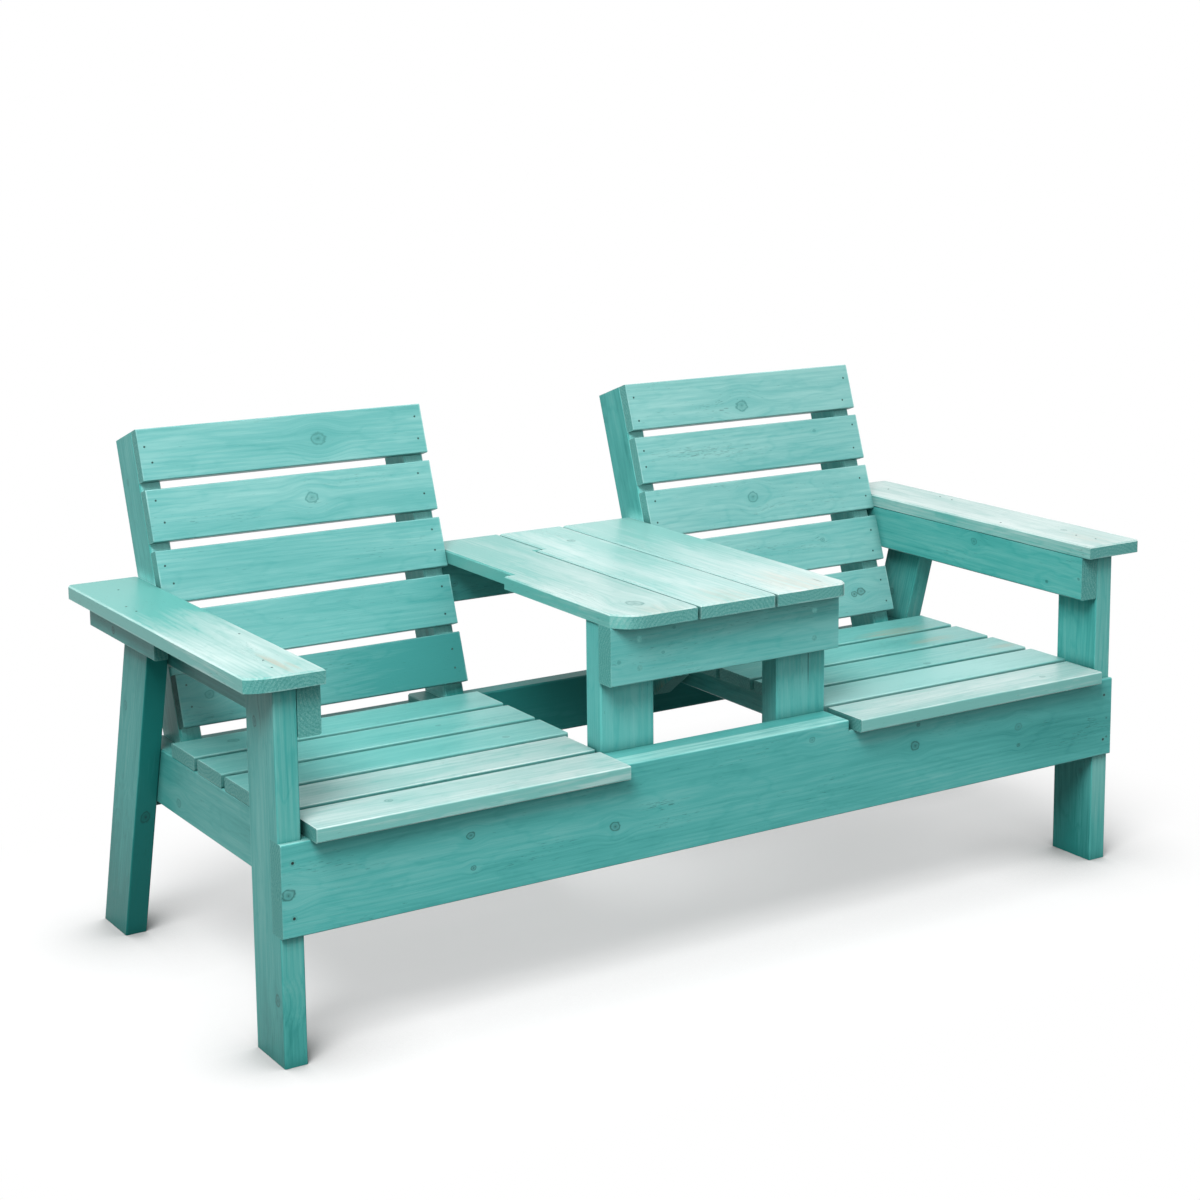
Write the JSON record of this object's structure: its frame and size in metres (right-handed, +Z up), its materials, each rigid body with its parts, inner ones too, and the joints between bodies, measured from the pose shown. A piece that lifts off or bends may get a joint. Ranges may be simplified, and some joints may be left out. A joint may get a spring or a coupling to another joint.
{
  "type": "companion seat bench",
  "caption": "Garden companion bench with slatted chairs on one frame, leaning slatted backs, flat armrests and a table between the seats, in teal stained softwood.",
  "frame": {"origin": "on the floor, under the middle of the bench's overall length and depth", "axes": "+X along the bench to the sitter's left as seen from the front, +Y from the front of the seats to the backs, +Z up"},
  "size_m": [1.688, 0.8084, 0.8307],
  "materials": {
    "seat_boards": "translucent teal stain",
    "back_boards": "translucent teal stain",
    "table_boards": "translucent teal stain",
    "arm_boards": "translucent teal stain",
    "frame_boards": "translucent teal stain",
    "screw_steel": "zinc plated, dulled"
  },
  "bodies": {
    "root": {"apron_screws": "screw_steel", "arm_cleat_left": "frame_boards", "arm_cleat_right": "frame_boards", "arm_support_left": "frame_boards", "arm_support_right": "frame_boards", "armrest_left": "arm_boards", "armrest_right": "arm_boards", "back_slat_left_1": "back_boards", "back_slat_left_2": "back_boards", "back_slat_left_3": "back_boards", "back_slat_left_4": "back_boards", "back_slat_left_5": "back_boards", "back_slat_right_1": "back_boards", "back_slat_right_2": "back_boards", "back_slat_right_3": "back_boards", "back_slat_right_4": "back_boards", "back_slat_right_5": "back_boards", "back_upright_left_inner": "frame_boards", "back_upright_left_outer": "frame_boards", "back_upright_right_inner": "frame_boards", "back_upright_right_outer": "frame_boards", "front_leg_left": "frame_boards", "front_leg_right": "frame_boards", "front_rail": "frame_boards", "rail_screws": "screw_steel", "rear_leg_left": "frame_boards", "rear_leg_right": "frame_boards", "rear_rail": "frame_boards", "seat_bearer_left": "frame_boards", "seat_bearer_right": "frame_boards", "seat_slat_left_1": "seat_boards", "seat_slat_left_2": "seat_boards", "seat_slat_left_3": "seat_boards", "seat_slat_left_4": "seat_boards", "seat_slat_left_5": "seat_boards", "seat_slat_right_1": "seat_boards", "seat_slat_right_2": "seat_boards", "seat_slat_right_3": "seat_boards", "seat_slat_right_4": "seat_boards", "seat_slat_right_5": "seat_boards", "side_rail_left": "frame_boards", "side_rail_right": "frame_boards", "table_apron_front": "frame_boards", "table_apron_rear": "frame_boards", "table_bearer": "frame_boards", "table_board_left": "table_boards", "table_board_middle": "table_boards", "table_board_right": "table_boards", "table_post_left": "frame_boards", "table_post_right": "frame_boards"}
  },
  "joints": []
}
